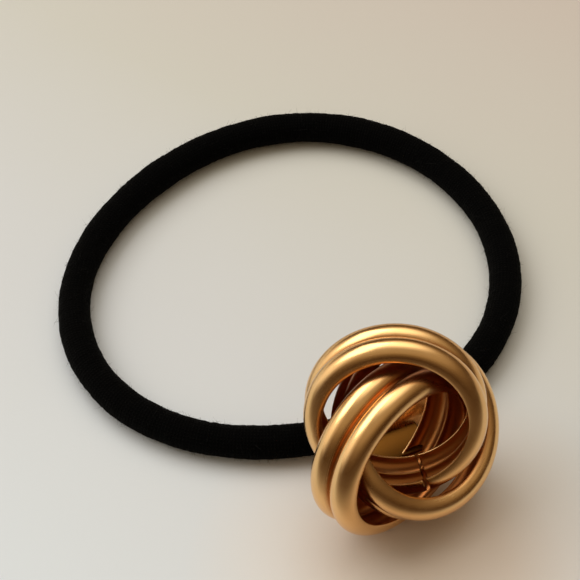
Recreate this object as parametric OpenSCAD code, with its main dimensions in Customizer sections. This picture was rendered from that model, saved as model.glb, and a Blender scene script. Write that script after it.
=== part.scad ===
// Hair tie: a round elastic cord bent into a loop, with a metal knot of three
// interlocked ribbed rings that hangs on it by a plain sleeve.
// Units are millimetres, +Z is up. The hair tie lies flat on z = 0 with its
// knot towards -Y. The origin is the middle of the footprint.

/* [Elastic] */
// mean radius of the loop's centre line
loop_radius = 28.9; // [20:0.1:40]
// cord diameter
cord_diameter = 4.5; // [2:0.1:8]
// oval of the loop along X, as a share of the radius
loop_oval = 0.059; // [-0.15:0.001:0.15]
// oval of the loop along the diagonal
loop_skew = 0.013; // [-0.1:0.001:0.1]
// three-cornered part of the loop's shape, cosine share
loop_tri_cos = -0.018; // [-0.1:0.001:0.1]
// three-cornered part of the loop's shape, sine share
loop_tri_sin = -0.011; // [-0.1:0.001:0.1]
// rings of points along the loop
loop_steps = 72; // [36:4:96]
// sides of the cord's section
cord_sides = 12; // [8:2:16]
// how much thinner the cord's radius is where the sleeve grips it
cord_squeeze = 0.15; // [0:0.05:0.6]

/* [Ring strip] */
// sheet thickness
sheet = 0.3; // [0.2:0.05:0.8]
// radius of the rounded edge along a rim, a little under half the sheet
rim_round = 0.145; // [0.05:0.005:0.4]
// upper ring: radius of the circle through both rib centres, half the distance
// between the rib centres, outer radius of a rib, and how far the front and the
// back rib run round from the crest to the rim, in degrees
upper_strip = [9.41, 1.55, 1.75, 107, 93];
// left ring, in the same order
left_strip = [9.93, 1.64, 1.76, 103.5, 98.5];
// lower ring, in the same order
lower_strip = [9.73, 1.05, 1.76, 150, 74];
// round cut that trims the lower ring's front rim, most where the left ring
// passes: its radius, how far its centre lies off the ring's axis, and at what
// azimuth
lower_trim = [9.35, 0.85, 170];

/* [Ring poses] */
// upper ring: x, y, z of the centre, tilt of the axis from +Z, azimuth of the axis
upper_pose = [-0.67, -34.1, 15.7, 67.92, -116.6];
// left ring, in the same order
left_pose = [-1.88, -36.35, 11.83, 81.48, -69.16];
// lower ring, in the same order
lower_pose = [1.95, -35.08, 11.93, 43.72, -66.63];

/* [Butt seam in the upper ring] */
// azimuth of the seam, from the ring's lowest point
seam_azimuth = 23.5; // [0:0.5:360]
// seam gap at the back rim
seam_back = 0.3; // [0.1:0.05:1]
// seam gap at the front rim
seam_front = 0.55; // [0.1:0.05:2]
// how far the seam leans over the width of the strip
seam_lean = 1.4; // [0:0.1:3]

/* [Sleeve] */
// length of the sleeve on the elastic
sleeve_length = 12; // [4:0.5:20]
// outer radius of the sleeve
sleeve_radius = 2.6; // [1.5:0.05:5]
// wall of the sleeve
sleeve_wall = 0.35; // [0.2:0.05:1]
// x of the middle of the sleeve
sleeve_x = 2.5; // [-10:0.5:10]
// y of the sleeve's axis
sleeve_y = -26.7; // [-40:0.1:-15]
// height of the sleeve above the surface
sleeve_lift = 0.05; // [0:0.05:1]
// thickness of the plate between the sleeve and the left ring
plate_thick = 0.7; // [0.3:0.05:2]
// height of the plate's underside
plate_z = 2.3; // [0:0.1:10]
// x of the plate's left edge
plate_left = -3; // [-10:0.1:10]
// x of the plate's right edge
plate_right = 5.2; // [-10:0.1:10]
// y of the plate's front edge
plate_front = -33.3; // [-40:0.1:-20]
// chamfer of the plate's front corners
plate_chamfer = 1; // [0:0.1:3]

/* [Footprint] */
// x shift that puts the footprint's middle on the origin
shift_x = 0.52; // [-5:0.01:5]
// y shift that puts the footprint's middle on the origin
shift_y = 7.58; // [-10:0.01:20]

/* [Hidden] */
cord_r = cord_diameter / 2;
sleeve_z = sleeve_radius + sleeve_lift;
bore_radius = sleeve_radius - sleeve_wall;
// the elastic is straight along the sleeve and a little beyond it, and comes
// back to the loop's curve over the blend length
grip_half = sleeve_length / 2 + 0.5;
grip_blend = 4.5;
// longer than any rib's section
reach = 6;
$fn = 96;

// ---- elastic ----------------------------------------------------------

// loop radius at an azimuth
function loop_r(a) = loop_radius * (1 + loop_oval * cos(2 * a)
  + loop_skew * sin(2 * a) + loop_tri_cos * cos(3 * a)
  + loop_tri_sin * sin(3 * a));
// share of the sleeve's grip at an azimuth: 1 in the sleeve, 0 away from it
function grip(x, y) = y > 0 ? 0
  : let (d = abs(x - sleeve_x) - grip_half)
    d <= 0 ? 1 : d >= grip_blend ? 0
    : 0.5 + 0.5 * cos(180 * d / grip_blend);
function loop_point(a) =
  let (x = loop_r(a) * cos(a), y = loop_r(a) * sin(a), g = grip(x, y))
  [x, y + g * (sleeve_y - y), cord_r + g * (sleeve_z - cord_r)];
function loop_thick(a) =
  cord_r - cord_squeeze * grip(loop_r(a) * cos(a), loop_r(a) * sin(a));
function unit(v) = v / norm(v);
function loop_tangent(a) = unit(loop_point(a + 1) - loop_point(a - 1));
// one ring of points round the cord: the outward side first, then up
function cord_ring(a) =
  let (t = loop_tangent(a), o = unit(cross(t, [0, 0, 1])), u = cross(o, t))
  [for (k = [0:cord_sides - 1])
    let (f = 360 * k / cord_sides)
    loop_point(a) + loop_thick(a) * (cos(f) * o + sin(f) * u)];
cord_points = [for (i = [0:loop_steps - 1]) each cord_ring(360 * i / loop_steps)];
cord_faces = [for (i = [0:loop_steps - 1]) for (k = [0:cord_sides - 1])
  let (j = (i + 1) % loop_steps, m = (k + 1) % cord_sides)
  [i * cord_sides + k, i * cord_sides + m,
   j * cord_sides + m, j * cord_sides + k]];

module elastic() color("black")
  polyhedron(points = cord_points, faces = cord_faces, convexity = 6);

// ---- ribbed rings -----------------------------------------------------

// the two ribs' circles, radius along X and ring axis along Y, front rib up
module rib_circles(strip, r)
  for (side = [-1, 1]) translate([strip[0], side * strip[1]]) circle(r = r);

// rounded edge of a rim, at the middle of the sheet
module rim(strip, side, wrap)
  translate([strip[0] + (strip[2] - sheet / 2) * cos(wrap),
      side * (strip[1] + (strip[2] - sheet / 2) * sin(wrap))])
    circle(r = rim_round);

// section of the strip: the sheet along the outside of both ribs, from the
// back rim over the crests and the groove to the front rim
module strip_section(strip) {
  q = strip[0]; h = strip[1]; front = strip[3]; back = strip[4];
  intersection() {
    difference() {
      rib_circles(strip, strip[2]);
      rib_circles(strip, strip[2] - sheet);
    }
    polygon([[q, -h], [q + reach * cos(back), -h - reach * sin(back)],
      [q + reach, -h - reach], [q + reach, h + reach],
      [q + reach * cos(front), h + reach * sin(front)], [q, h]]);
  }
  rim(strip, 1, front);
  rim(strip, -1, back);
}

module ring(strip) rotate_extrude(convexity = 8) strip_section(strip);

// puts a ring's own frame into its place in the knot
module place(pose)
  translate([pose[0], pose[1], pose[2]])
    rotate([0, pose[3], pose[4]])
      children();

// the wedge that the butt seam leaves open, seen along the ring's radius
module seam_wedge()
  rotate([0, 0, seam_azimuth]) translate([5, 0, 0]) rotate([90, 0, 90])
    linear_extrude(height = 10)
      polygon([
        [-seam_lean / 2 - seam_back / 2, -4], [-seam_lean / 2 + seam_back / 2, -4],
        [seam_lean / 2 + seam_front / 2, 4], [seam_lean / 2 - seam_front / 2, 4]]);

module knot_ring_upper() color("gold") place(upper_pose)
  difference() {
    ring(upper_strip);
    seam_wedge();
  }

// the left ring carries the sleeve that the elastic runs through; the
// sleeve and its plate are joined to it as one piece of metal
module knot_ring_left() color("gold") {
  place(left_pose) ring(left_strip);
  difference() {
    union() {
      sleeve_body(sleeve_radius, sleeve_length);
      plate();
    }
    sleeve_body(bore_radius, sleeve_length + 2);
  }
}

module sleeve_body(r, h)
  translate([sleeve_x, sleeve_y, sleeve_z]) rotate([0, 90, 0])
    cylinder(r = r, h = h, center = true);

// flat plate from the sleeve's front wall, over the left ring's back rim and
// on into the ring
module plate() translate([0, 0, plate_z]) linear_extrude(height = plate_thick)
  polygon([[plate_left, sleeve_y], [plate_left, plate_front + plate_chamfer],
    [plate_left + plate_chamfer, plate_front],
    [plate_right - plate_chamfer, plate_front],
    [plate_right, plate_front + plate_chamfer], [plate_right, sleeve_y]]);

module knot_ring_lower() color("gold") place(lower_pose)
  difference() {
    ring(lower_strip);
    rotate([0, 0, lower_trim[2]]) translate([lower_trim[1], 0, lower_strip[1]])
      cylinder(r = lower_trim[0], h = reach);
  }

module shifted() translate([shift_x, shift_y, 0]) children();

shifted() elastic();
shifted() knot_ring_upper();
shifted() knot_ring_left();
shifted() knot_ring_lower();
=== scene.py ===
import math
import random

import bmesh
import bpy
import numpy as np
from mathutils import Matrix, Vector
from mathutils.bvhtree import BVHTree


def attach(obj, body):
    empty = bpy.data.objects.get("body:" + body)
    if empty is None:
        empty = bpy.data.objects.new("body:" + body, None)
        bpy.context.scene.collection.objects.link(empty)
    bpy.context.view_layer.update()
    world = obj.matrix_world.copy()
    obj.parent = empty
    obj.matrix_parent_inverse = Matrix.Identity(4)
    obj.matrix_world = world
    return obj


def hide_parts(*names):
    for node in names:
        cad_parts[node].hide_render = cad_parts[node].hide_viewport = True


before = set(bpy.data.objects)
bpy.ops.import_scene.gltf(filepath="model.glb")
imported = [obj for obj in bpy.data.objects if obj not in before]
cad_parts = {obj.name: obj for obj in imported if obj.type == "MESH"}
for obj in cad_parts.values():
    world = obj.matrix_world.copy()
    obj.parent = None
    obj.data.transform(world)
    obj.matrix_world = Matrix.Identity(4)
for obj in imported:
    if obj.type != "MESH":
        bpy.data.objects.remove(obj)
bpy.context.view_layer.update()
scene = bpy.context.scene
MM = 0.001

# ---------------------------------------------------------------- sizes, mm
SHIFT = (0.52, 7.58)
LOOP_R, CORD_D = 28.9, 4.5
OVAL, SKEW, TRI_C, TRI_S = 0.059, 0.013, -0.018, -0.011
SQUEEZE = 0.15
SHEET = 0.30
# radius of the rib centres' circle, half their distance, outer radius of a
# rib, and how far the front and the back rib run round from the crest
STRIPS = {
    "upper": (9.41, 1.55, 1.75, 107.0, 93.0),
    "left": (9.93, 1.64, 1.76, 103.5, 98.5),
    "lower": (9.73, 1.05, 1.76, 150.0, 74.0),
}
# radius, offset and azimuth of the round cut that trims the lower ring's
# front rim
TRIM_R, TRIM_OFF, TRIM_AZ = 9.35, 0.85, 170.0
# x, y, z of the centre, tilt and azimuth of the axis
POSES = {
    "upper": (-0.67, -34.10, 15.70, 67.92, -116.60),
    "left": (-1.88, -36.35, 11.83, 81.48, -69.16),
    "lower": (1.95, -35.08, 11.93, 43.72, -66.63),
}
SEAM_AZ, SEAM_BACK, SEAM_FRONT, SEAM_LEAN = 23.5, 0.3, 0.55, 1.4
SLEEVE_L, SLEEVE_R, SLEEVE_WALL = 12.0, 2.6, 0.35
SLEEVE_X, SLEEVE_Y, SLEEVE_LIFT = 2.5, -26.7, 0.05
SLEEVE_Z = SLEEVE_R + SLEEVE_LIFT
BORE = SLEEVE_R - SLEEVE_WALL
GRIP_HALF, GRIP_BLEND = SLEEVE_L / 2 + 0.5, 4.5
PLATE_Z, PLATE_T, PLATE_CH = 2.3, 0.7, 1.0
PLATE_X0, PLATE_X1, PLATE_Y0, PLATE_Y1 = -3.0, 5.2, -33.3, -29.05

# ---------------------------------------------------------------- camera
CAM_POS = (-55.286, -124.58, 182.04)
CAM_FWD = Vector((0.2391, 0.5688, -0.7870)).normalized()
CAM_RIGHT = Vector((0.92186, -0.38752, 0.0)).normalized()
CAM_F_PX = 1641.0


def add_camera():
    cam = bpy.data.cameras.new("camera")
    ob = bpy.data.objects.new("camera", cam)
    scene.collection.objects.link(ob)
    up = CAM_RIGHT.cross(CAM_FWD).normalized()
    right = CAM_FWD.cross(up).normalized()
    m = Matrix.Identity(4)
    for i in range(3):
        m[i][0], m[i][1], m[i][2] = right[i], up[i], -CAM_FWD[i]
        m[i][3] = CAM_POS[i] * MM
    ob.matrix_world = m
    cam.sensor_width = 36.0
    cam.lens = CAM_F_PX / 580.0 * 36.0
    cam.clip_start, cam.clip_end = 0.01, 20.0
    cam.dof.use_dof = False
    scene.camera = ob


# ---------------------------------------------------------------- node help
def new_material(name):
    m = bpy.data.materials.new(name)
    m.use_nodes = True
    nt = m.node_tree
    nt.nodes.clear()
    return m, nt


def node(nt, kind, **settings):
    n = nt.nodes.new(kind)
    for k, v in settings.items():
        if k.startswith("i_"):
            n.inputs[k[2:].replace("_", " ")].default_value = v
        else:
            setattr(n, k, v)
    return n


def link(nt, a, b):
    nt.links.new(a, b)


def math_node(nt, op, a, b=None):
    n = nt.nodes.new("ShaderNodeMath")
    n.operation = op
    for i, v in enumerate((a, b)):
        if v is None:
            continue
        if isinstance(v, (int, float)):
            n.inputs[i].default_value = v
        else:
            nt.links.new(v, n.inputs[i])
    return n.outputs[0]


def ramp(nt, fac, stops):
    n = nt.nodes.new("ShaderNodeValToRGB")
    el = n.color_ramp.elements
    while len(el) < len(stops):
        el.new(0.5)
    for e, (pos, col) in zip(el, stops):
        e.position = pos
        e.color = (*col, 1.0) if len(col) == 3 else col
    nt.links.new(fac, n.inputs[0])
    return n.outputs[0]


def noise_tex(nt, vec, scale, detail=3.0, rough=0.5, dims="3D"):
    n = nt.nodes.new("ShaderNodeTexNoise")
    n.noise_dimensions = dims
    n.inputs["Scale"].default_value = scale
    n.inputs["Detail"].default_value = detail
    n.inputs["Roughness"].default_value = rough
    if vec is not None:
        nt.links.new(vec, n.inputs["Vector"])
    return n.outputs["Fac"]


# ---------------------------------------------------------------- materials
# painted shade in the hollows: what the plate's colour is multiplied by, from open metal to a deep recess
RECESS_PAINTED_SHADE = [(0.14, (1.0, 1.0, 1.0)), (0.40, (0.60, 0.42, 0.30)), (0.86, (0.62, 0.39, 0.28)),
               (0.97, (0.36, 0.19, 0.13))]


def gold_material(name, base, rough, painted_shade=1.0):
    """Warm gold plate on strip that was drawn lengthwise: the UV map holds
    millimetres, u along the strip and v across it. The last argument darkens
    and reddens it as painted shade, for surfaces that lie in shade, and the
    mesh's recess value adds painted shade in the hollows."""
    m, nt = new_material(name)
    out = node(nt, "ShaderNodeOutputMaterial")
    p = node(nt, "ShaderNodeBsdfPrincipled")
    link(nt, p.outputs[0], out.inputs[0])
    uv = node(nt, "ShaderNodeUVMap", uv_map="strip")
    geo = node(nt, "ShaderNodeTexCoord")
    # fine lines drawn along the strip
    stretch = node(nt, "ShaderNodeMapping")
    stretch.inputs["Scale"].default_value = (0.05, 9.0, 1.0)
    link(nt, uv.outputs[0], stretch.inputs[0])
    lines = noise_tex(nt, stretch.outputs[0], 1.0, 4.0, 0.65)
    stretch2 = node(nt, "ShaderNodeMapping")
    stretch2.inputs["Scale"].default_value = (0.12, 2.6, 1.0)
    link(nt, uv.outputs[0], stretch2.inputs[0])
    bands = noise_tex(nt, stretch2.outputs[0], 1.0, 2.0, 0.5)
    cloud = noise_tex(nt, geo.outputs["Object"], 260.0, 3.0, 0.55)
    speck = noise_tex(nt, geo.outputs["Object"], 2600.0, 2.0, 0.5)
    # painted shade: the last argument darkens and reddens the base colour
    shade = (painted_shade, painted_shade ** 1.6, painted_shade ** 2.2)
    shaded_base = [c * k for c, k in zip(base, shade)]
    # colour: slightly redder and darker plate in soft clouds
    tone = ramp(nt, cloud, [(0.30, [c * k for c, k in zip(shaded_base, (0.93, 0.90, 0.84))]),
                            (0.70, shaded_base)])
    # painted shade: the mesh's recess value darkens and reddens the colour in the hollows
    hollow = node(nt, "ShaderNodeAttribute", attribute_type="GEOMETRY", attribute_name="recess")
    recess_painted_shade = ramp(nt, hollow.outputs["Fac"], RECESS_PAINTED_SHADE)
    colour_with_painted_shade = node(nt, "ShaderNodeMix", data_type="RGBA", blend_type="MULTIPLY")
    colour_with_painted_shade.inputs[0].default_value = 1.0
    link(nt, tone, colour_with_painted_shade.inputs[6])
    link(nt, recess_painted_shade, colour_with_painted_shade.inputs[7])
    link(nt, colour_with_painted_shade.outputs[2], p.inputs["Base Color"])
    p.inputs["Metallic"].default_value = 1.0
    p.inputs["Anisotropic"].default_value = 0.35
    tan = node(nt, "ShaderNodeTangent", direction_type="UV_MAP", uv_map="strip")
    link(nt, tan.outputs[0], p.inputs["Tangent"])
    r1 = math_node(nt, "MULTIPLY", math_node(nt, "SUBTRACT", lines, 0.5), 0.10)
    r2 = math_node(nt, "MULTIPLY", math_node(nt, "SUBTRACT", cloud, 0.5), 0.12)
    r3 = math_node(nt, "ADD", math_node(nt, "ADD", r1, r2),
                   math_node(nt, "ADD", math_node(nt, "MULTIPLY", hollow.outputs["Fac"], 0.10), rough))
    link(nt, r3, p.inputs["Roughness"])
    h = math_node(nt, "ADD", math_node(nt, "MULTIPLY", lines, 0.55),
                  math_node(nt, "ADD", math_node(nt, "MULTIPLY", bands, 0.8),
                            math_node(nt, "MULTIPLY", speck, 0.12)))
    bump = node(nt, "ShaderNodeBump")
    bump.inputs["Strength"].default_value = 0.35
    bump.inputs["Distance"].default_value = 0.00002
    link(nt, h, bump.inputs["Height"])
    link(nt, bump.outputs[0], p.inputs["Normal"])
    return m


def cord_material():
    """Black knitted cover: wales run along the cord, courses across it. The
    UV map holds millimetres, u along the cord and v round it."""
    m, nt = new_material("black_knit")
    out = node(nt, "ShaderNodeOutputMaterial")
    p = node(nt, "ShaderNodeBsdfPrincipled")
    link(nt, p.outputs[0], out.inputs[0])
    uv = node(nt, "ShaderNodeUVMap", uv_map="knit")
    geo = node(nt, "ShaderNodeTexCoord")
    sep = node(nt, "ShaderNodeSeparateXYZ")
    link(nt, uv.outputs[0], sep.inputs[0])
    u, v = sep.outputs[0], sep.outputs[1]
    wale, course = 0.471, 0.42
    tau = 2 * math.pi
    # a V in each wale: the course's phase leans one way on each half
    vph = math_node(nt, "MULTIPLY", v, tau / wale)
    lean = math_node(nt, "MULTIPLY", math_node(nt, "ABSOLUTE", math_node(nt, "SINE", math_node(nt, "MULTIPLY", vph, 0.5))), 2.4)
    uph = math_node(nt, "ADD", math_node(nt, "MULTIPLY", u, tau / course), lean)
    loops = math_node(nt, "ADD", math_node(nt, "MULTIPLY", math_node(nt, "SINE", uph), 0.5), 0.5)
    rows = math_node(nt, "ADD", math_node(nt, "MULTIPLY", math_node(nt, "COSINE", vph), 0.5), 0.5)
    knit = math_node(nt, "MULTIPLY", loops, math_node(nt, "ADD", math_node(nt, "MULTIPLY", rows, 0.6), 0.4))
    fuzz = noise_tex(nt, geo.outputs["Object"], 4200.0, 4.0, 0.7)
    patch = noise_tex(nt, geo.outputs["Object"], 420.0, 3.0, 0.6)
    mix = math_node(nt, "ADD", math_node(nt, "MULTIPLY", knit, 0.55),
                    math_node(nt, "ADD", math_node(nt, "MULTIPLY", fuzz, 0.25),
                              math_node(nt, "MULTIPLY", patch, 0.35)))
    col = ramp(nt, mix, [(0.25, (0.0003, 0.0003, 0.0003)), (0.55, (0.0008, 0.0008, 0.0008)),
                         (0.95, (0.0028, 0.0027, 0.0025))])
    link(nt, col, p.inputs["Base Color"])
    p.inputs["Roughness"].default_value = 0.92
    p.inputs["Specular IOR Level"].default_value = 0.035
    p.inputs["Sheen Weight"].default_value = 0.008
    p.inputs["Sheen Roughness"].default_value = 0.5
    p.inputs["Sheen Tint"].default_value = (0.9, 0.88, 0.8, 1.0)
    h = math_node(nt, "ADD", math_node(nt, "MULTIPLY", knit, 1.0), math_node(nt, "MULTIPLY", fuzz, 0.8))
    bump = node(nt, "ShaderNodeBump")
    bump.inputs["Strength"].default_value = 0.8
    bump.inputs["Distance"].default_value = 0.00012
    link(nt, h, bump.inputs["Height"])
    link(nt, bump.outputs[0], p.inputs["Normal"])
    return m


def fibre_material():
    m, nt = new_material("black_fibre")
    out = node(nt, "ShaderNodeOutputMaterial")
    p = node(nt, "ShaderNodeBsdfPrincipled")
    link(nt, p.outputs[0], out.inputs[0])
    geo = node(nt, "ShaderNodeTexCoord")
    n = noise_tex(nt, geo.outputs["Object"], 700.0, 2.0, 0.5)
    link(nt, ramp(nt, n, [(0.3, (0.002, 0.002, 0.002)), (0.7, (0.007, 0.007, 0.006))]),
         p.inputs["Base Color"])
    p.inputs["Roughness"].default_value = 0.75
    p.inputs["Specular IOR Level"].default_value = 0.2
    return m


def floor_material():
    m, nt = new_material("pale_floor")
    out = node(nt, "ShaderNodeOutputMaterial")
    p = node(nt, "ShaderNodeBsdfPrincipled")
    link(nt, p.outputs[0], out.inputs[0])
    geo = node(nt, "ShaderNodeTexCoord")
    sep = node(nt, "ShaderNodeSeparateXYZ")
    link(nt, geo.outputs["Object"], sep.inputs[0])
    # paler and cooler towards the near left, warmer and darker towards the far right: painted light falloff across
    # the floor
    t = math_node(nt, "ADD", math_node(nt, "MULTIPLY", sep.outputs[0], 4.5),
                  math_node(nt, "MULTIPLY", sep.outputs[1], 3.2))
    t = math_node(nt, "ADD", t, 0.5)
    soft = noise_tex(nt, geo.outputs["Object"], 14.0, 3.0, 0.5)
    t = math_node(nt, "ADD", t, math_node(nt, "MULTIPLY", math_node(nt, "SUBTRACT", soft, 0.5), 0.15))
    pale = ramp(nt, t, [(0.0, (0.74, 0.83, 0.90)), (0.2, (0.72, 0.79, 0.85)), (0.45, (0.67, 0.705, 0.735)),
                        (0.67, (0.63, 0.635, 0.59)), (1.0, (0.605, 0.54, 0.49))])
    # it falls off into soft brown shade in front of the hair tie, 42 to
    # 95 mm from the middle
    ahead = math_node(nt, "ADD", math_node(nt, "MULTIPLY", sep.outputs[0], -3.9),
                      math_node(nt, "MULTIPLY", sep.outputs[1], -9.2))
    shade = ramp(nt, ahead, [(0.42, (1, 1, 1)), (0.53, (0.50, 0.45, 0.40)), (0.70, (0.26, 0.20, 0.15)),
                             (0.95, (0.13, 0.08, 0.05))])
    shaded = node(nt, "ShaderNodeMix", data_type="RGBA", blend_type="MULTIPLY")
    shaded.inputs[0].default_value = 1.0
    link(nt, pale, shaded.inputs[6])
    link(nt, shade, shaded.inputs[7])
    # painted light bounced off the metal: within 30 mm of the knot's foot the floor is made warmer
    foot = node(nt, "ShaderNodeVectorMath", operation="DISTANCE")
    link(nt, geo.outputs["Object"], foot.inputs[0])
    foot.inputs[1].default_value = (-0.002, -0.041, 0.0)
    painted_bounce_light = ramp(nt, math_node(nt, "MULTIPLY", foot.outputs["Value"], 1 / 0.030),
                [(0.0, (1.05, 0.86, 0.70)), (0.35, (1.08, 0.92, 0.79)), (0.6, (1.08, 1.0, 0.93)), (1.0, (1, 1, 1))])
    floor_col = node(nt, "ShaderNodeMix", data_type="RGBA", blend_type="MULTIPLY")
    floor_col.inputs[0].default_value = 1.0
    link(nt, shaded.outputs[2], floor_col.inputs[6])
    link(nt, painted_bounce_light, floor_col.inputs[7])
    link(nt, floor_col.outputs[2], p.inputs["Base Color"])
    p.inputs["Roughness"].default_value = 0.65
    p.inputs["Specular IOR Level"].default_value = 0.25
    grain = noise_tex(nt, geo.outputs["Object"], 900.0, 4.0, 0.6)
    bump = node(nt, "ShaderNodeBump")
    bump.inputs["Strength"].default_value = 0.15
    bump.inputs["Distance"].default_value = 0.0001
    link(nt, grain, bump.inputs["Height"])
    link(nt, bump.outputs[0], p.inputs["Normal"])
    return m


# ---------------------------------------------------------------- meshes
def mesh_object(name, verts, faces, uvs=None, uv_name="strip", smooth=True, sharp=None):
    me = bpy.data.meshes.new(name)
    me.from_pydata([tuple(v) for v in verts], [], [tuple(f) for f in faces])
    if uvs is not None:
        layer = me.uv_layers.new(name=uv_name)
        flat = np.array(uvs, dtype=np.float32).reshape(-1)
        layer.data.foreach_set("uv", flat)
    if smooth:
        me.polygons.foreach_set("use_smooth", [True] * len(me.polygons))
    me.update()
    ob = bpy.data.objects.new(name, me)
    scene.collection.objects.link(ob)
    return ob


def pose_axes(pose):
    t, z = math.radians(pose[3]), math.radians(pose[4])
    n = np.array([math.sin(t) * math.cos(z), math.sin(t) * math.sin(z), math.cos(t)])
    u = np.array([math.cos(t) * math.cos(z), math.cos(t) * math.sin(z), -math.sin(t)])
    return np.array(pose[:3]) + np.array([SHIFT[0], SHIFT[1], 0.0]), u, np.cross(n, u), n


def arc(cx, cy, r, a0, a1, n, flip=1):
    a = np.radians(np.linspace(a0, a1, n))
    return np.stack([cx + r * np.cos(a), flip * (cy + r * np.sin(a))], 1)


def strip_outline(strip, steps):
    """Closed outline of the strip's section as (radius, height) in mm, from
    the front rim over both crests to the back rim and back on the inside."""
    q, h, ro, fwrap, bwrap = strip
    ri, t, rm = ro - SHEET, SHEET / 2, ro - SHEET / 2
    go = math.degrees(math.asin(h / ro))
    # where the ribs stand so far apart that their insides don't meet, a
    # narrow flat web lies between them
    gi, ei = (90.0, 0.0) if ri <= h else (math.degrees(math.asin(h / ri)), 2.5)
    # the outside groove is eased over a few degrees
    eo = 2.0
    fc, bc = math.radians(fwrap), math.radians(bwrap)
    fcen = (q + rm * math.cos(fc), h + rm * math.sin(fc))
    bcen = (q + rm * math.cos(bc), -h - rm * math.sin(bc))
    # rounded rims, from the outside round to the inside
    back = [(bcen[0] + t * math.cos(-bc - s), bcen[1] + t * math.sin(-bc - s))
            for s in np.linspace(0, math.pi, 9)[1:-1]]
    front = [(fcen[0] + t * math.cos(fc + math.pi - s), fcen[1] + t * math.sin(fc + math.pi - s))
             for s in np.linspace(0, math.pi, 9)[1:-1]]
    return np.vstack([
        arc(q, h, ro, fwrap, -go + eo, steps),
        arc(q, h, ro, -go + eo, bwrap, steps, -1),
        np.array(back),
        arc(q, h, ri, bwrap, -gi + ei, steps, -1),
        arc(q, h, ri, -gi + ei, fwrap, steps),
        np.array(front)])


def trimmed(strip, a):
    """The strip as the round cut leaves it at azimuth a (radians)."""
    d = a - math.radians(TRIM_AZ)
    edge = TRIM_OFF * math.cos(d) + math.sqrt(TRIM_R ** 2 - (TRIM_OFF * math.sin(d)) ** 2)
    reach = (edge + SHEET / 2 - strip[0]) / (strip[2] - SHEET / 2)
    wrap = math.degrees(math.acos(max(-1.0, min(1.0, reach))))
    return strip[:3] + (min(strip[3], wrap), strip[4])


def ring_mesh(pose, strip, seam=False, n_az=360, steps=22):
    """The strip swept round its ring. u runs along the strip, v across it."""
    o, ux, uy, n = pose_axes(pose)
    sec = strip_outline(strip, steps)
    trim = strip == STRIPS["lower"]
    m = len(sec)
    half_out = 2 * steps + 7
    vlen = np.concatenate([[0], np.cumsum(np.linalg.norm(np.diff(sec, axis=0), axis=1))])
    vtot = vlen[-1] + np.linalg.norm(sec[0] - sec[-1])
    verts = []
    cols = n_az + 1 if seam else n_az
    for i in range(cols):
        f = i / n_az
        if seam:
            # the open wedge: where its middle runs, and half its width
            w, q = sec[:, 1], sec[:, 0]
            mid = SEAM_LEAN * w / 8
            half = (SEAM_BACK + (SEAM_FRONT - SEAM_BACK) * (w + 4) / 8) / 2
            lo = math.radians(SEAM_AZ) + (mid + half) / q
            hi = math.radians(SEAM_AZ) + 2 * math.pi + (mid - half) / q
            a = lo + (hi - lo) * f
        else:
            a = np.full(m, 2 * math.pi * f)
        if trim:
            sec = strip_outline(trimmed(strip, 2 * math.pi * f), steps)
        rad = np.cos(a)[:, None] * ux + np.sin(a)[:, None] * uy
        verts.append(o + rad * sec[:, :1] + n * sec[:, 1:])
    verts = np.vstack(verts) * MM
    faces, uvs = [], []
    span = 2 * math.pi * (strip[0] + strip[2])
    for i in range(n_az):
        j = i + 1 if seam else (i + 1) % cols
        for k in range(m):
            l = (k + 1) % m
            faces.append((i * m + k, j * m + k, j * m + l, i * m + l))
            v0 = vlen[k]
            v1 = vlen[l] if l else vtot
            u0, u1 = span * i / n_az, span * (i + 1) / n_az
            uvs += [(u0, v0), (u1, v0), (u1, v1), (u0, v1)]
    if seam:
        # the cut ends: a band between the outside and the inside of the sheet
        for i, rev in ((0, False), (n_az, True)):
            lo_i, hi_i = 0, m - 1
            while hi_i - lo_i > 1:
                if hi_i - lo_i == 2:
                    f = (i * m + lo_i, i * m + lo_i + 1, i * m + hi_i)
                else:
                    f = (i * m + lo_i, i * m + lo_i + 1, i * m + hi_i - 1, i * m + hi_i)
                faces.append(f if rev else tuple(reversed(f)))
                uvs += [(span * i / n_az, 0.1 * c) for c in range(len(f))]
                lo_i += 1
                hi_i -= 1
    # material 1 on the inside of the strip and 2 on its cut ends
    inner = [1 if half_out <= k < m - 7 else 0 for k in range(m)]
    slots = inner * n_az + [2] * (len(faces) - n_az * m)
    return verts, faces, uvs, slots


def recalc(ob):
    bm = bmesh.new()
    bm.from_mesh(ob.data)
    bmesh.ops.recalc_face_normals(bm, faces=bm.faces)
    bm.to_mesh(ob.data)
    bm.free()


def coarse_tree():
    """The three rings with few facets, to feel for recesses with."""
    verts, faces = [], []
    for key in POSES:
        v, f, _, _ = ring_mesh(POSES[key], STRIPS[key], key == "upper", 180, 9)
        faces += [tuple(i + len(verts) for i in q) for q in f]
        verts += [tuple(p) for p in v]
    return BVHTree.FromPolygons(verts, faces)


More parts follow.
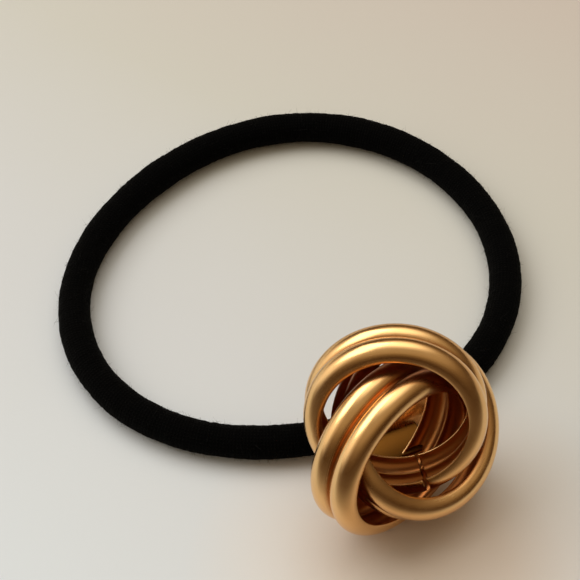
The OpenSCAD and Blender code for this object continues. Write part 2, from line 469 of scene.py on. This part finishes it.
def mark_recess(ob, tree, cols, stride=4, rays=32, far=7.0):
    """Gives each vertex the share of a fixed fan of rays from it that meets
    metal within a few millimetres, as the mesh's recess value."""
    me = ob.data
    n = len(me.vertices)
    co, no = np.empty(n * 3), np.empty(n * 3)
    me.vertices.foreach_get("co", co)
    me.vertices.foreach_get("normal", no)
    co, no = co.reshape(n, 3), no.reshape(n, 3)
    k = np.arange(rays) + 0.5
    r, a = np.sqrt(k / rays), k * math.pi * (1 + 5 ** 0.5)
    fan = np.stack([r * np.cos(a), r * np.sin(a), np.sqrt(1 - r * r)], 1)
    m = n // cols
    used = sorted(set(range(0, cols, stride)) | {cols - 1})
    value = np.zeros((len(used), m))
    for i, c in enumerate(used):
        for j in range(m):
            p, d = co[c * m + j], no[c * m + j]
            s = np.cross(d, [0.31, 0.42, 0.85])
            s /= np.linalg.norm(s) + 1e-12
            rays_out = fan @ np.stack([s, np.cross(d, s), d])
            o = Vector(p + d * 0.07 * MM)
            value[i, j] = sum(tree.ray_cast(o, Vector(q), far * MM)[0] is not None for q in rays_out) / rays
    full = np.stack([np.interp(np.arange(cols), used, value[:, j]) for j in range(m)], 1)
    attr = me.attributes.new("recess", "FLOAT", "POINT")
    attr.data.foreach_set("value", np.concatenate([full.reshape(-1), np.zeros(n - cols * m)]).astype(np.float32))


def grip(x, y):
    d = np.abs(x - SLEEVE_X) - GRIP_HALF
    g = np.where(d <= 0, 1.0, np.where(d >= GRIP_BLEND, 0.0, 0.5 + 0.5 * np.cos(np.pi * d / GRIP_BLEND)))
    return np.where(y > 0, 0.0, g)


def loop_line(a):
    """Centre line of the elastic at azimuths a (radians), in mm, and how far
    the sleeve's grip reaches there."""
    r = LOOP_R * (1 + OVAL * np.cos(2 * a) + SKEW * np.sin(2 * a) + TRI_C * np.cos(3 * a) + TRI_S * np.sin(3 * a))
    x, y = r * np.cos(a), r * np.sin(a)
    g = grip(x, y)
    p = np.stack([x, y + g * (SLEEVE_Y - y), CORD_D / 2 + g * (SLEEVE_Z - CORD_D / 2)], 1)
    p[:, 0] += SHIFT[0]
    p[:, 1] += SHIFT[1]
    return p, g


def frames(p):
    t = np.roll(p, -1, 0) - np.roll(p, 1, 0)
    t /= np.linalg.norm(t, axis=1)[:, None]
    o = np.cross(t, [0, 0, 1.0])
    o /= np.linalg.norm(o, axis=1)[:, None]
    return t, o, np.cross(o, t)


def elastic_mesh(n_len=1200, n_round=64):
    # even steps along the length
    fine = np.linspace(0, 2 * math.pi, 7201)
    pf, _ = loop_line(fine)
    s = np.concatenate([[0], np.cumsum(np.linalg.norm(np.diff(pf, axis=0), axis=1))])
    total = s[-1]
    a = np.interp(np.arange(n_len) * total / n_len, s, fine)
    p, g = loop_line(a)
    t, o, u = frames(p)
    rng = np.random.default_rng(7)
    rad = CORD_D / 2 - SQUEEZE * g
    # slow swelling and thinning of the knitted cover
    ph = rng.uniform(0, 2 * math.pi, 6)
    along = np.arange(n_len) / n_len * 2 * math.pi
    swell = sum(np.sin(k * along + ph[i]) * w for i, (k, w) in enumerate(((5, .03), (11, .02), (17, .016), (29, .012), (41, .008), (67, .006))))
    rad = rad + (swell - 0.03) * (1 - g)
    ring_f = 2 * math.pi * np.arange(n_round) / n_round
    # small bumps of the courses and wales
    L = total / n_len
    verts = np.empty((n_len, n_round, 3))
    uu = np.arange(n_len) * L
    wale, course = 0.471, 0.42
    vv = ring_f * CORD_D / 2
    V = np.cos(vv * 2 * math.pi / wale)
    rough = rng.normal(0, 1, (n_len, n_round))
    # smooth the random field a little
    for _ in range(2):
        rough = (rough + np.roll(rough, 1, 0) + np.roll(rough, -1, 0) + np.roll(rough, 1, 1) + np.roll(rough, -1, 1)) / 5
    rough /= rough.std()
    R = rad[:, None] + 0.018 * V[None, :] + 0.02 * rough - 0.02
    for k in range(n_round):
        d = np.cos(ring_f[k]) * o + np.sin(ring_f[k]) * u
        verts[:, k] = p + d * R[:, k:k + 1]
    # it lies on the floor and is a little flat there
    verts[..., 2] = np.maximum(verts[..., 2], 0.02)
    faces, uvs = [], []
    girth = math.pi * CORD_D
    for i in range(n_len):
        j = (i + 1) % n_len
        for k in range(n_round):
            l = (k + 1) % n_round
            faces.append((i * n_round + k, i * n_round + l, j * n_round + l, j * n_round + k))
            u0, u1 = i * L, (i + 1) * L
            v0, v1 = girth * k / n_round, girth * (k + 1) / n_round
            uvs += [(u0, v0), (u0, v1), (u1, v1), (u1, v0)]
    return verts.reshape(-1, 3) * MM, faces, uvs, p, total


def fibres_mesh(count, seed=11):
    """Short loose fibres of the cover, each a thin three-sided blade."""
    rng = np.random.default_rng(seed)
    fine = np.linspace(0, 2 * math.pi, 7201)
    pf, _ = loop_line(fine)
    s = np.concatenate([[0], np.cumsum(np.linalg.norm(np.diff(pf, axis=0), axis=1))])
    a = np.interp(rng.uniform(0, s[-1], count), s, fine)
    da = 0.002
    p, g = loop_line(a)
    t = loop_line(a + da)[0] - loop_line(a - da)[0]
    t /= np.linalg.norm(t, axis=1)[:, None]
    o = np.cross(t, [0, 0, 1.0])
    o /= np.linalg.norm(o, axis=1)[:, None]
    u = np.cross(o, t)
    f = rng.uniform(0, 2 * math.pi, count)
    keep = (g < 0.02)
    d = np.cos(f)[:, None] * o + np.sin(f)[:, None] * u
    e = np.cross(t, d)
    rad = CORD_D / 2 - 0.10
    length = rng.gamma(2.2, 0.17, count).clip(0.12, 1.3)
    lean_t = rng.normal(0, 0.9, count)
    lean_e = rng.normal(0, 0.9, count)
    curl = rng.normal(0, 0.8, (count, 2))
    width = rng.uniform(0.010, 0.022, count)
    verts, faces = [], []
    seg = 4
    for i in range(count):
        if not keep[i]:
            continue
        dirv = d[i] * 1.0 + t[i] * lean_t[i] + e[i] * lean_e[i]
        dirv /= np.linalg.norm(dirv)
        side1 = np.cross(dirv, t[i] + 0.3 * e[i])
        side1 /= np.linalg.norm(side1)
        side2 = np.cross(dirv, side1)
        base = p[i] + d[i] * rad
        pts = []
        ok = True
        for k in range(seg + 1):
            q = k / seg
            c = base + dirv * length[i] * q + (t[i] * curl[i, 0] + e[i] * curl[i, 1]) * 0.35 * length[i] * q * q
            if c[2] < 0.03:
                ok = False
                break
            pts.append((c, width[i] * (1 - 0.75 * q)))
        if not ok:
            continue
        b = len(verts)
        for c, w in pts:
            for z in range(3):
                an = 2 * math.pi * z / 3
                verts.append((c + side1 * math.cos(an) * w + side2 * math.sin(an) * w) * MM)
        for k in range(seg):
            for z in range(3):
                z2 = (z + 1) % 3
                faces.append((b + k * 3 + z, b + k * 3 + z2, b + (k + 1) * 3 + z2, b + (k + 1) * 3 + z))
        faces.append((b + seg * 3, b + seg * 3 + 1, b + seg * 3 + 2))
        faces.append((b + 2, b + 1, b))
    return verts, faces


def sleeve_mesh():
    """The plain sleeve with eased ends, lathed about its own axis."""
    t = SLEEVE_WALL / 2
    rm = SLEEVE_R - t
    h = SLEEVE_L / 2
    prof = []
    for x in np.linspace(-h + t, h - t, 12):
        prof.append((x, SLEEVE_R))
    for a in np.linspace(90, -90, 9)[1:-1]:
        prof.append((h - t + t * math.cos(math.radians(a)), rm + t * math.sin(math.radians(a))))
    for x in np.linspace(h - t, -h + t, 12):
        prof.append((x, BORE))
    for a in np.linspace(-90, -270, 9)[1:-1]:
        prof.append((-h + t + t * math.cos(math.radians(a)), rm + t * math.sin(math.radians(a))))
    n, m = 96, len(prof)
    c = np.array([SLEEVE_X + SHIFT[0], SLEEVE_Y + SHIFT[1], SLEEVE_Z])
    verts = []
    for i in range(n):
        a = 2 * math.pi * i / n
        for x, r in prof:
            verts.append((c + np.array([x, r * math.cos(a), r * math.sin(a)])) * MM)
    faces, uvs = [], []
    for i in range(n):
        j = (i + 1) % n
        for k in range(m):
            l = (k + 1) % m
            faces.append((i * m + k, j * m + k, j * m + l, i * m + l))
            u0, u1 = 2 * math.pi * SLEEVE_R * i / n, 2 * math.pi * SLEEVE_R * (i + 1) / n
            uvs += [(u0, prof[k][0]), (u1, prof[k][0]), (u1, prof[l][0]), (u0, prof[l][0])]
    return verts, faces, uvs


def plate_object():
    """The flat plate from the sleeve into the left ring, its edges eased."""
    x0, x1, y0, y1, ch = PLATE_X0, PLATE_X1, PLATE_Y0, PLATE_Y1, PLATE_CH
    flat = [(x0, y1), (x0, y0 + ch), (x0 + ch, y0), (x1 - ch, y0), (x1, y0 + ch), (x1, y1)]
    bm = bmesh.new()
    rows = [[bm.verts.new(((x + SHIFT[0]) * MM, (y + SHIFT[1]) * MM, z * MM)) for x, y in flat]
            for z in (PLATE_Z, PLATE_Z + PLATE_T)]
    bm.faces.new(rows[0])
    bm.faces.new(list(reversed(rows[1])))
    for k in range(len(flat)):
        l = (k + 1) % len(flat)
        bm.faces.new((rows[0][k], rows[1][k], rows[1][l], rows[0][l]))
    bmesh.ops.recalc_face_normals(bm, faces=bm.faces)
    bmesh.ops.bevel(bm, geom=list(bm.edges), offset=0.12 * MM, segments=4, profile=0.5, affect="EDGES")
    bmesh.ops.recalc_face_normals(bm, faces=bm.faces)
    layer = bm.loops.layers.uv.new("strip")
    for f in bm.faces:
        f.smooth = True
        for lp in f.loops:
            lp[layer].uv = (lp.vert.co.x / MM, (lp.vert.co.y + lp.vert.co.z) / MM)
    me = bpy.data.meshes.new("plate")
    bm.to_mesh(me)
    bm.free()
    me.set_sharp_from_angle(angle=math.radians(25))
    ob = bpy.data.objects.new("plate", me)
    scene.collection.objects.link(ob)
    return ob


# ---------------------------------------------------------------- build
add_camera()

gold = gold_material("gold_plate", (0.92, 0.575, 0.255), 0.235)
# painted shade: darker, redder copies of the gold for the strip's inside, the plate, the sleeve and the cut ends;
# the plate's copy is also much darker and greener
gold_inside = gold_material("gold_plate_inside", (0.92, 0.575, 0.255), 0.30, 0.86)
gold_plain = gold_material("gold_plate_painted_shade", (0.85, 0.95, 0.42), 0.48, 0.185)
gold_sleeve = gold_material("gold_plate_sleeve", (0.92, 0.575, 0.255), 0.25, 0.68)
gold_cut = gold_material("gold_plate_cut_ends", (0.92, 0.575, 0.255), 0.50, 0.35)
black = cord_material()
fibre = fibre_material()

metal = coarse_tree()
for key in ("upper", "left", "lower"):
    v, f, uv, slots = ring_mesh(POSES[key], STRIPS[key], seam=(key == "upper"))
    ob = mesh_object("ring_" + key, v, f, uv, "strip")
    recalc(ob)
    mark_recess(ob, metal, 361 if key == "upper" else 360)
    ob.data.materials.append(gold)
    ob.data.materials.append(gold_inside)
    ob.data.materials.append(gold_cut)
    ob.data.polygons.foreach_set("material_index", slots)
    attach(ob, "root")
    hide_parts("knot_ring_" + key)

v, f, uv = sleeve_mesh()
sleeve = mesh_object("sleeve", v, f, uv, "strip")
recalc(sleeve)
for ob, shaded_gold in ((sleeve, gold_sleeve), (plate_object(), gold_plain)):
    ob.data.materials.append(shaded_gold)
    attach(ob, "root")
    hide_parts("knot_ring_left")

v, f, uv, line, total = elastic_mesh()
elastic = mesh_object("elastic_cover", v, f, uv, "knit")
recalc(elastic)
elastic.data.materials.append(black)
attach(elastic, "root")
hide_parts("elastic")

v, f = fibres_mesh(7000)
fuzz = mesh_object("elastic_fibres", v, f, smooth=False)
fuzz.data.materials.append(fibre)
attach(fuzz, "root")

# the cord's path: from the middle of the sleeve right round to it again
fine = np.linspace(0, 2 * math.pi, 721)[:-1]
pf, gf = loop_line(fine)

# ---------------------------------------------------------------- stage
bpy.ops.mesh.primitive_plane_add(size=3.0, location=(0, 0, 0))
floor = bpy.context.active_object
floor.name = "floor"
floor.data.materials.append(floor_material())


def area(name, loc, aim, size, size_y, power, colour):
    l = bpy.data.lights.new(name, "AREA")
    l.shape = "RECTANGLE"
    l.size, l.size_y = size, size_y
    l.energy = power
    l.color = colour
    ob = bpy.data.objects.new(name, l)
    scene.collection.objects.link(ob)
    ob.location = loc
    d = Vector(aim) - Vector(loc)
    ob.rotation_euler = d.to_track_quat("-Z", "Y").to_euler()
    return ob


area("key", (-0.30, 0.42, 0.62), (0, -0.01, 0.01), 0.80, 0.55, 3.25, (1.0, 0.99, 0.975))

# a dim warm room, darker towards the horizon, with a pale glow low at the
# left and another high up behind
ROOM = [(0.0, (0.03, 0.015, 0.006)), (0.50, (0.05, 0.024, 0.009)), (0.63, (0.10, 0.063, 0.033)),
        (0.735, (0.19, 0.130, 0.072)), (0.85, (0.40, 0.31, 0.20)), (1.0, (0.46, 0.39, 0.29))]
GLOWS = [
    ((-0.819, 0.435, 0.375), [(0.84, (0, 0, 0)), (0.93, (0.35, 0.33, 0.30)), (0.975, (0.95, 0.92, 0.86))]),
    ((0.211, 0.366, 0.906), [(0.90, (0, 0, 0)), (0.96, (0.60, 0.58, 0.54)), (0.985, (1.45, 1.39, 1.30))]),
]
world = bpy.data.worlds.new("world")
scene.world = world
world.use_nodes = True
wn = world.node_tree
wn.nodes.clear()
wo = wn.nodes.new("ShaderNodeOutputWorld")
bg = wn.nodes.new("ShaderNodeBackground")
tc = wn.nodes.new("ShaderNodeTexCoord")


def towards(direction, stops):
    dot = wn.nodes.new("ShaderNodeVectorMath")
    dot.operation = "DOT_PRODUCT"
    dot.inputs[1].default_value = Vector(direction).normalized()
    wn.links.new(tc.outputs["Generated"], dot.inputs[0])
    return ramp(wn, math_node(wn, "ADD", math_node(wn, "MULTIPLY", dot.outputs["Value"], 0.5), 0.5), stops)


sky = towards((0, 0, 1), ROOM)
for direction, stops in GLOWS:
    both = wn.nodes.new("ShaderNodeVectorMath")
    both.operation = "ADD"
    wn.links.new(sky, both.inputs[0])
    wn.links.new(towards(direction, stops), both.inputs[1])
    sky = both.outputs[0]
wn.links.new(sky, bg.inputs[0])
bg.inputs[1].default_value = 1.0
wn.links.new(bg.outputs[0], wo.inputs[0])

scene.view_settings.view_transform = "Standard"
scene.view_settings.look = "None"
scene.view_settings.exposure = 0.0
scene.view_settings.gamma = 1.0
